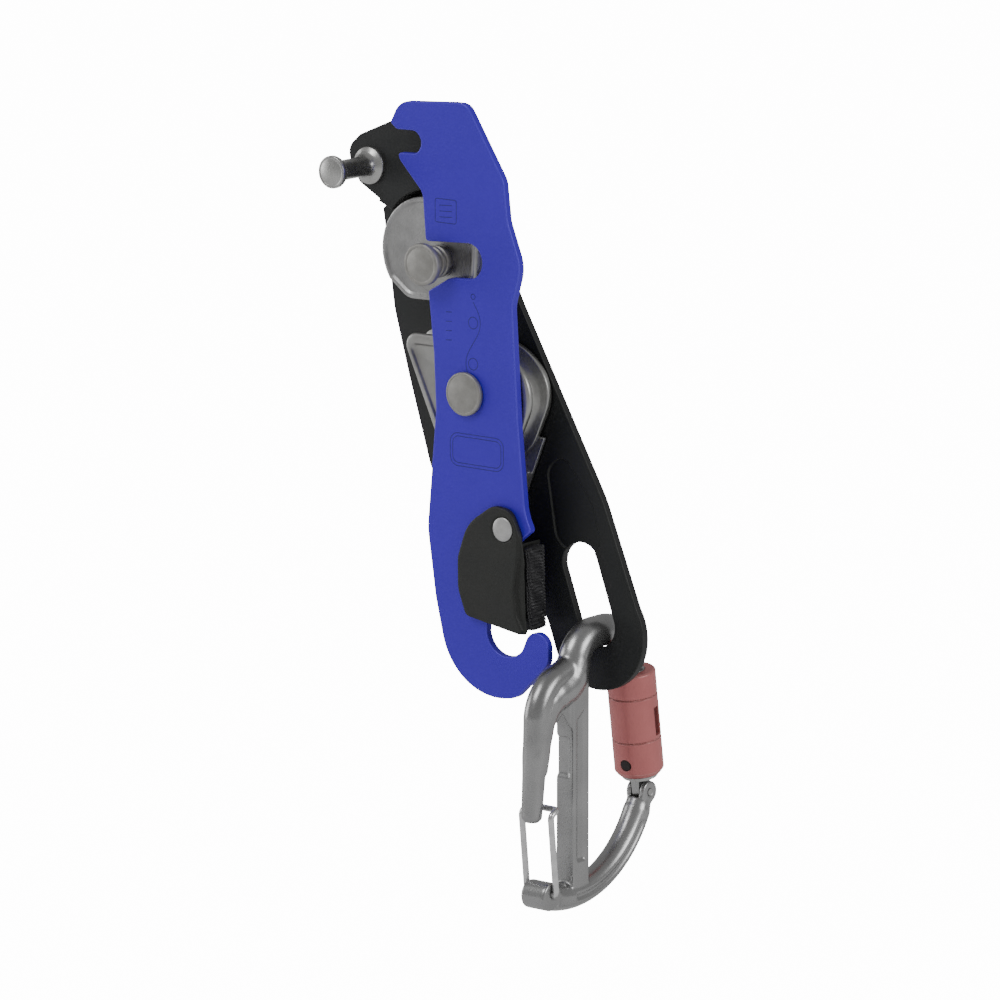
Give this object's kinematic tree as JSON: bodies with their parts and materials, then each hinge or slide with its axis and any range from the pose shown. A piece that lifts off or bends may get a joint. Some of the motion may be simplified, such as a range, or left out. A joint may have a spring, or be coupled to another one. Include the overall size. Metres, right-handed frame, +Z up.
{
  "type": "rope descender",
  "caption": "Self-braking rope descender: bobbin and cam between a fixed black plate and a hinged blue one with a safety gate, with a locking braking carabiner in its eye.",
  "frame": {"origin": "middle of the rope channel on the axis of the upper bobbin's stud", "axes": "+Z up as the device hangs, -Y to the front where the hinged side plate is, +X to the right seen from the front"},
  "size_m": [0.131, 0.078, 0.2967],
  "materials": {
    "black_plate": "black anodised",
    "blue_plate": "blue anodised",
    "cam_steel": "satin",
    "pin_steel": "turned",
    "bronze": "plain bearing",
    "washer": "natural",
    "black_plastic": "fine grain",
    "carabiner_alloy": "satin",
    "sleeve_red": "red anodised",
    "pale_plastic": "moulded"
  },
  "bodies": {
    "fixed_plate": {"fixed_side_plate": "black_plate", "upper_bobbin": "cam_steel", "upper_stud": "pin_steel", "upper_stud_nut": "pin_steel", "bobbin_dowel": "pin_steel", "aux_stud": "pin_steel", "aux_stud_washer": "pin_steel", "cam_axle": "pin_steel", "axle_washer": "pin_steel", "cam_stop_pin": "pin_steel", "cam_spring": "pin_steel", "thrust_washers": "washer"},
    "moving_plate": {"moving_side_plate": "blue_plate", "plate_bush": "bronze", "gate_rivet": "pin_steel", "gate_washer": "pin_steel", "gate_spring": "pin_steel"},
    "plate_gate": {"safety_gate": "black_plastic", "thumb_strip": "black_plastic"},
    "cam_and_handle": {"lower_cam": "cam_steel", "cam_bush": "bronze", "handle_arm": "cam_steel", "handle_grip": "black_plastic", "handle_rivets": "pin_steel"},
    "carabiner": {"carabiner_body": "carabiner_alloy", "gate_pin": "pin_steel"},
    "biner_gate": {"carabiner_gate": "carabiner_alloy", "gate_plunger": "pin_steel", "sleeve_collar": "pale_plastic", "sleeve_spring": "pin_steel"},
    "sleeve": {"locking_sleeve": "sleeve_red"},
    "ball": {"lock_ball": "black_plastic"},
    "wire": {"wire_gate": "pin_steel"}
  },
  "joints": [
    {"name": "side_plate_swing", "type": "hinge", "parent": "fixed_plate", "child": "moving_plate", "pos_m": [0.01512, 0, -0.04766], "axis": [0, 1, 0], "range_deg": [0, 120]},
    {"name": "plate_gate_swing", "type": "hinge", "parent": "moving_plate", "child": "plate_gate", "pos_m": [0.03452, 0, -0.09596], "axis": [0, 1, 0], "range_deg": [0, 18], "stiffness_Nm_per_rad": 0.02, "springref_deg": -11.46},
    {"name": "cam_handle_swing", "type": "hinge", "parent": "fixed_plate", "child": "cam_and_handle", "pos_m": [0.01512, 0, -0.04766], "axis": [0, 1, 0], "range_deg": [-12, 25], "stiffness_Nm_per_rad": 0.03},
    {"name": "carabiner_swing", "type": "hinge", "parent": "fixed_plate", "child": "carabiner", "pos_m": [0.06243, 0.0092, -0.1341], "axis": [0, 1, 0], "range_deg": [-25, 8]},
    {"name": "carabiner_gate_swing", "type": "hinge", "parent": "carabiner", "child": "biner_gate", "pos_m": [0.06243, 0.035, -0.19996], "axis": [1, 0, 0], "range_deg": [0, 8], "stiffness_Nm_per_rad": 0.04, "springref_deg": -11.46},
    {"name": "sleeve_turn", "type": "hinge", "parent": "biner_gate", "child": "sleeve", "pos_m": [0.06243, 0.035, -0.19996], "axis": [0, -0.1439, 0.9896], "range_deg": [-90, 0], "stiffness_Nm_per_rad": 0.002, "springref_deg": 11.46},
    {"name": "ball_press", "type": "slide", "parent": "sleeve", "child": "ball", "axis": [-0.0872, 0.9858, 0.1434], "range_m": [0, 0.001], "stiffness_N_per_m": 300, "springref_m": -0.0005},
    {"name": "wire_gate_swing", "type": "hinge", "parent": "carabiner", "child": "wire", "pos_m": [0.06243, -0.02522, -0.22697], "axis": [1, 0, 0], "range_deg": [-16, 0], "stiffness_Nm_per_rad": 0.01, "springref_deg": 11.46}
  ]
}
